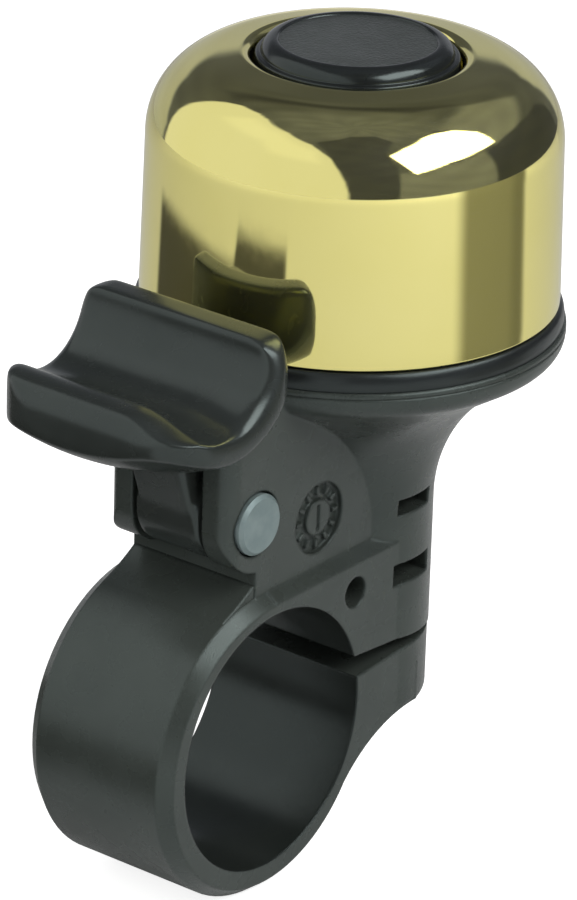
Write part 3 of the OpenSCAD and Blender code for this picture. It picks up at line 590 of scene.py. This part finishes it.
brass, nodes, links, shader, place = finish_nodes("polished_brass")
shader.inputs["Metallic"].default_value = 1
brass_colour = clouded(nodes, links, place, 90, 3, (0.92, 0.84, 0.30, 1), (0.95, 0.87, 0.335, 1))
links.new(brass_colour, shader.inputs["Base Color"])
buffing = spread(nodes, links, grain(nodes, links, place, 700, 3), 0.035, 0.06)
links.new(buffing, shader.inputs["Roughness"])
shader.inputs["Coat Weight"].default_value = 0.4
shader.inputs["Coat IOR"].default_value = 1.45
shader.inputs["Coat Roughness"].default_value = 0.55
waves = grain(nodes, links, place, 130, 2)
pressed_in(nodes, links, shader, waves, 0.008 * mm)
brass_dome.data.materials.append(brass)
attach(brass_dome, "bell")
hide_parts("bell_dome")

# ---- Cap ----
# Black plastic plug that hides the dome's screw: a skirt that covers the dish, a rounded glossy
# rim and a slightly sunk face with a fine grain.
cap_low, cap_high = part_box("dome_cap")
plug_r = 5.0 * mm
skirt_r = (cap_high.x - cap_low.x) / 2
skirt_z = crown_z - 0.1 * mm
skirt_round = 0.2 * mm
cap_r = 7.95 * mm
cap_foot_round = 0.1 * mm
cap_edge = 1.25 * mm
face_r = 6.45 * mm
face_z = cap_high.z - 0.15 * mm
face_under_z = cap_high.z - 1.0 * mm
cap_outline = [(plug_r, cap_low.z), (skirt_r - skirt_round, cap_low.z),
               (skirt_r, cap_low.z + skirt_round)]
down_to(cap_outline, skirt_r, skirt_z - skirt_round, 2)
cap_outline += arc(skirt_r - skirt_round, skirt_z - skirt_round, skirt_round, 0, 90, 4)[1:]
down_to(cap_outline, cap_r + cap_foot_round, skirt_z, 1)
cap_outline += arc(cap_r + cap_foot_round, skirt_z + cap_foot_round, cap_foot_round,
                   -90, -180, 3)[1:]
cap_outline += arc(cap_r - cap_edge, cap_high.z - cap_edge, cap_edge, 0, 90, 14)
rim_in_r, rim_in_round = face_r + 0.16 * mm, 0.06 * mm
cap_outline += [(rim_in_r, cap_high.z), (rim_in_r - rim_in_round, cap_high.z - 0.03 * mm),
                (face_r, face_z)]
down_to(cap_outline, 0.1 * mm, face_z, 6)
cap_outline += [(0, face_z)]
down_to(cap_outline, 0, face_under_z, 1)
cap_outline += [(plug_r, face_under_z), (plug_r, cap_low.z)]
cap_piece = turned_piece("dome_cap_moulding", cap_outline, 192)
face_finish = ("Z", (dome_x, 0, 0), face_r, 3.2, 1.9, 0.13 * mm)
cap_plastic = moulded_plastic(
    "cap_black", (0.013, 0.0145, 0.0135, 1), (0.018, 0.020, 0.019, 1), 0.16, 0.23,
    4200, 0.004 * mm, special=face_finish)
cap_piece.data.materials.append(cap_plastic)
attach(cap_piece, "bell")
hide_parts("dome_cap")

# ---- Thumb lever ----
# One glossy black moulding: hub, inner and outer arm and the boat-shaped paddle. Every edge is
# rounded, which the fine remesh and the smoothing give it.
pin_low, pin_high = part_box("hinge_pin")
pin = Vector(((pin_low.x + pin_high.x) / 2, 0, (pin_low.z + pin_high.z) / 2))
groove_x, groove_z = pin.x - 8.5 * mm, pin.z + 17.1 * mm
near_y, far_y = -10.85 * mm, 9.95 * mm
back_lip_z, front_lip_z = groove_z + 0.7 * mm, groove_z - 3.3 * mm
front_foot_z = groove_z - 5.6 * mm
front_sink = 0.72
bpy.ops.object.select_all(action="DESELECT")
lever = bpy.data.objects.new("thumb_lever_moulding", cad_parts["thumb_lever"].data.copy())
bpy.context.scene.collection.objects.link(lever)
lever.select_set(True)
bpy.context.view_layer.objects.active = lever
bpy.ops.object.mode_set(mode="EDIT")
bpy.ops.mesh.select_all(action="SELECT")
bpy.ops.mesh.remove_doubles(threshold=0.002 * mm)
bpy.ops.object.mode_set(mode="OBJECT")
fine = lever.modifiers.new("fine", "REMESH")
fine.mode = "VOXEL"
fine.voxel_size = 0.16 * mm
bpy.ops.object.modifier_apply(modifier="fine")


def rounded_corner(places, end_y, top_z, side, corner_r, where):
    """Draws a square upper corner of the paddle in to a round one. side is +1 for the far end
    and -1 for the near one."""
    u = (places[:, 1] - end_y) * side / corner_r + 1
    v = (places[:, 2] - top_z) / corner_r + 1
    in_corner = where & (u > 0) & (v > 0)
    u, v = np.clip(u, 0, 1), np.clip(v, 0, 1)
    turned_u, turned_v = u * np.sqrt(1 - v * v / 2), v * np.sqrt(1 - u * u / 2)
    places[in_corner, 1] = end_y + (turned_u[in_corner] - 1) * corner_r * side
    places[in_corner, 2] = top_z + (turned_v[in_corner] - 1) * corner_r


def move_points(mesh, places):
    """Puts the mesh's points at the given places."""
    mesh.vertices.foreach_set("co", places.ravel())
    mesh.update()


places = points_of(lever.data)
back = places[:, 0] > groove_x
rounded_corner(places, near_y, back_lip_z, -1, 3.2 * mm, back)
rounded_corner(places, far_y, back_lip_z, 1, 2.4 * mm, back)
rounded_corner(places, far_y, front_lip_z, 1, 1.8 * mm, ~back)
# The front lip sinks towards the paddle's near end.
front = soft_step(groove_x + 1.0 * mm - places[:, 0], 0, 4 * mm)
near = soft_step(-places[:, 1], 7.4 * mm, 6 * mm)
rise = np.maximum(0, places[:, 2] - front_foot_z)
places[:, 2] -= rise * front_sink * front * near
move_points(lever.data, places)
ease = lever.modifiers.new("ease", "SMOOTH")
ease.factor = 0.5
ease.iterations = 58
bpy.ops.object.modifier_apply(modifier="ease")

# A little more room at both sides of the leaf spring's root, where the leaf swings in its slot.
# It is found in the inner arm's own directions, which lean by the lever's stroke.
stroke = math.radians(16)
leaf_x, leaf_root = 8.4 * mm, 8.35 * mm
root_reach, root_half = 0.9 * mm, 2.45 * mm
room = 0.15 * mm
places = points_of(lever.data)
from_pin_x, from_pin_z = places[:, 0] - pin.x, places[:, 2] - pin.z
arm_x = from_pin_x * math.cos(stroke) - from_pin_z * math.sin(stroke) - leaf_x
arm_z = from_pin_x * math.sin(stroke) + from_pin_z * math.cos(stroke) - leaf_root
by_root = ((abs(arm_x) < root_reach) & (abs(arm_z) < root_reach)
           & (abs(places[:, 1]) < root_half))
places[:, 0] += by_root * np.sign(arm_x) * room * math.cos(stroke)
places[:, 2] -= by_root * np.sign(arm_x) * room * math.sin(stroke)
move_points(lever.data, places)
bpy.ops.object.shade_smooth()
lever_plastic = moulded_plastic(
    "lever_black", (0.022, 0.0255, 0.023, 1), (0.029, 0.033, 0.030, 1), 0.21, 0.29,
    5000, 0.006 * mm)
lever.data.materials.clear()
lever.data.materials.append(lever_plastic)
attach(lever, "lever")
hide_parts("thumb_lever")

# ---- Hinge pin ----
# Headed steel pin, tumbled and zinc plated to a matt blue grey. Its head sits in the near ear,
# its end is riveted over the far one, and the lever turns on it.


def plated_steel(name, dark, light, rough_low, rough_high, metal=1):
    """Metal with a clouded colour and a finely worn surface."""
    material, nodes, links, shader, place = finish_nodes(name)
    shader.inputs["Metallic"].default_value = metal
    links.new(clouded(nodes, links, place, 500, 3, dark, light), shader.inputs["Base Color"])
    wear = grain(nodes, links, place, 1500, 4)
    links.new(spread(nodes, links, wear, rough_low, rough_high), shader.inputs["Roughness"])
    pressed_in(nodes, links, shader, wear, 0.006 * mm)
    return material


pin_steel = plated_steel("pin_zinc", (0.22, 0.285, 0.285, 1), (0.29, 0.36, 0.36, 1),
                         0.55, 0.68, metal=0.55)
give("hinge_pin", pin_steel)

# ---- Striker ----
# A spring-steel leaf riveted in the lever's inner arm, with a turned steel hammer at its end.
# The wire of the return spring is of the same steel.
bright_steel = plated_steel("bright_steel", (0.50, 0.50, 0.51, 1), (0.62, 0.62, 0.63, 1),
                            0.25, 0.38)
spring_steel = plated_steel("spring_steel", (0.32, 0.32, 0.33, 1), (0.42, 0.42, 0.44, 1),
                            0.28, 0.40)
rivet_brass = plated_steel("rivet_brass", (0.72, 0.55, 0.25, 1), (0.80, 0.63, 0.30, 1),
                           0.30, 0.42)
for node in ("striker_leaf", "return_spring"):
    give(node, spring_steel)
give("leaf_rivet", rivet_brass)
give("hammer", bright_steel)

# ---- Fasteners ----
# Zinc-plated screws, nuts and washers that hold the dome on its post and close the clamp, and
# a red fibre washer between the post and the dome.
for node in ("dome_screw", "dome_washer", "dome_nut", "clamp_screw", "clamp_washer", "clamp_nut"):
    give(node, bright_steel)
fibre = moulded_plastic("red_fibre", (0.16, 0.035, 0.022, 1), (0.24, 0.06, 0.035, 1), 0.7, 0.85,
                        2600, 0.04 * mm)
give("fibre_washer", fibre)
